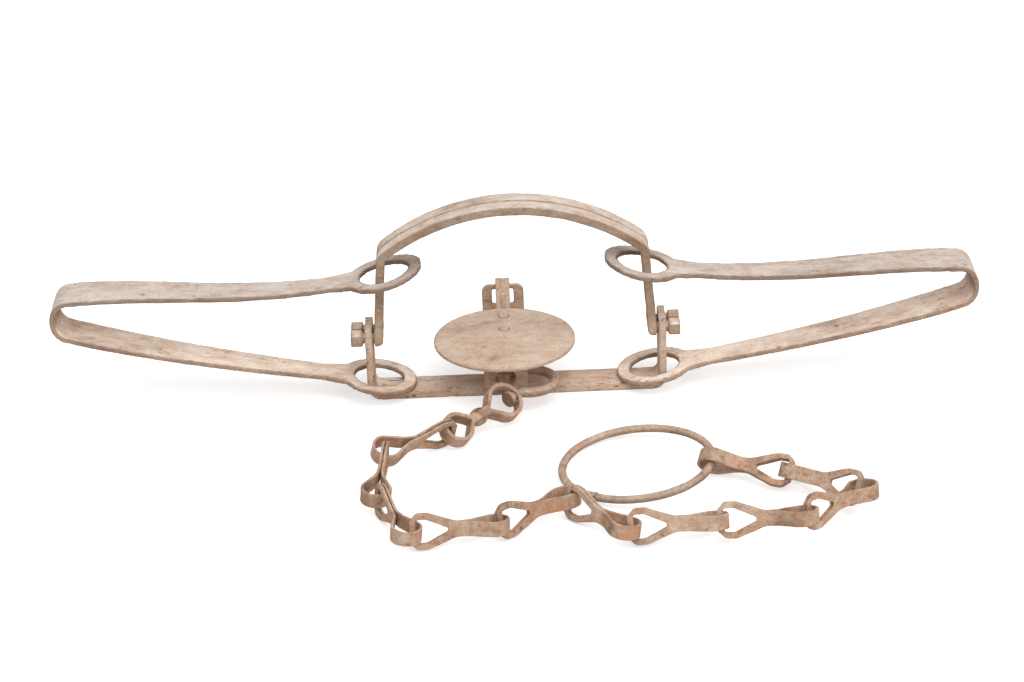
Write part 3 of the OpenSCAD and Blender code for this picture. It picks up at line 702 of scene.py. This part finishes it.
# %% The ring in its loop
RING, RING_IDS = ring_tree()
print("ring inputs:", ", ".join(RING_IDS))
points = np.array([v.co for v in frame["nodes"]["end_ring"].data.vertices], float)
ring_middle = (points.min(0) + points.max(0)) / 2
ring_axis = Vector(np.linalg.svd(points - ring_middle, full_matrices=False)[2][2])
if ring_axis.z < 0:
    ring_axis = -ring_axis
seam_side = Vector((math.cos(SEAM_AT), math.sin(SEAM_AT), 0))
seam_side = (seam_side - seam_side.dot(ring_axis) * ring_axis).normalized()
carrier = bpy.data.objects.new("raw_ring", bpy.data.meshes.new("raw_ring"))
scene.collection.objects.link(carrier)
modifier = carrier.modifiers.new("ring rod", "NODES")
modifier.node_group = RING
modifier[RING_IDS["Place"]] = Vector(ring_middle)
modifier[RING_IDS["Seam side"]] = seam_side
modifier[RING_IDS["Ring axis"]] = ring_axis
modifier[RING_IDS["Finish"]] = rod_rust
dressed(baked(carrier, "worn_end_ring"), "end_ring", "end_ring")

# %% [markdown]
# ## Floor, light and camera
# The trap stands on plain white. The floor is a pale matt sheet that keeps the soft shadow, and a
# little light of its own for the camera lifts it to clean white. Two wide soft lamps and an even
# sky light it.

# %% Floor and sky
FLOOR_GREY, FLOOR_GLOW, SKY_LEVEL = 0.78, 0.5, 0.62
bpy.ops.mesh.primitive_plane_add(size=12, location=(0, 0, 0))
floor = bpy.context.object
floor.name = "white_floor"
paper = bpy.data.materials.new("white_paper")
paper.use_nodes = True
tree = paper.node_tree
tree.nodes.clear()
matt = put(tree, "ShaderNodeBsdfDiffuse", {"Color": (FLOOR_GREY, FLOOR_GREY, FLOOR_GREY, 1.0)})
light_path = put(tree, "ShaderNodeLightPath").outputs
seen = maths(tree, "MAXIMUM", light_path["Is Camera Ray"], light_path["Is Glossy Ray"])
seen = maths(tree, "MAXIMUM", seen, light_path["Is Transmission Ray"])
glow = put(tree, "ShaderNodeEmission", {"Strength": times(tree, seen, FLOOR_GLOW)})
both = put(tree, "ShaderNodeAddShader", {0: matt.outputs[0], 1: glow.outputs[0]})
put(tree, "ShaderNodeOutputMaterial", {"Surface": both.outputs[0]})
floor.data.materials.append(paper)

sky = bpy.data.worlds.new("even_sky")
scene.world = sky
sky.use_nodes = True
tree = sky.node_tree
tree.nodes.clear()
seen = put(tree, "ShaderNodeLightPath").outputs["Is Camera Ray"]
strength = scaled(tree, seen, 0.0, 1.0, SKY_LEVEL, 1.0)
even = put(tree, "ShaderNodeBackground", {"Color": (1.0, 1.0, 1.0, 1.0), "Strength": strength})
put(tree, "ShaderNodeOutputWorld", {"Surface": even.outputs[0]})
print("floor grey", FLOOR_GREY, "under a sky of", SKY_LEVEL)


# %% Lamps
def soft_lamp(name, place, size, watts):
    lamp = bpy.data.lights.new(name, "AREA")
    lamp.shape, lamp.size, lamp.energy = "DISK", size, watts
    stand = bpy.data.objects.new(name, lamp)
    stand.location = place
    stand.rotation_euler = (-Vector(place)).to_track_quat("-Z", "Y").to_euler()
    scene.collection.objects.link(stand)
    print("lamp", name, watts, "W")


soft_lamp("overhead_softbox", (0.3, -0.8, 1.5), 1.8, 17.0)
soft_lamp("front_softbox", (0.9, -1.4, 0.7), 1.2, 6.0)

# %% Camera at the photograph's place
RISE, YAW, ROLL = math.radians(25.8), math.radians(0.2), math.radians(2.2)
CAMERA_AT, FOCAL = Vector((-6.4, -1297.0, 652.5)), 101.95
ahead = Vector((math.sin(YAW) * math.cos(RISE), math.cos(YAW) * math.cos(RISE), -math.sin(RISE)))
right = Vector((math.cos(YAW), -math.sin(YAW), 0))
above = right.cross(ahead)
right, above = (math.cos(ROLL) * right - math.sin(ROLL) * above,
                math.sin(ROLL) * right + math.cos(ROLL) * above)
lens = bpy.data.cameras.new("photo_camera")
lens.sensor_fit, lens.sensor_width, lens.lens, lens.clip_end = "HORIZONTAL", 36.0, FOCAL, 20.0
camera = bpy.data.objects.new("photo_camera", lens)
turn = Matrix((right, above, -ahead)).transposed().to_4x4()
camera.matrix_world = Matrix.Translation(CAMERA_AT * MM) @ turn
scene.collection.objects.link(camera)
scene.camera = camera
scene.view_settings.view_transform = "Standard"
print("camera looks down", round(math.degrees(RISE), 1), "degrees")
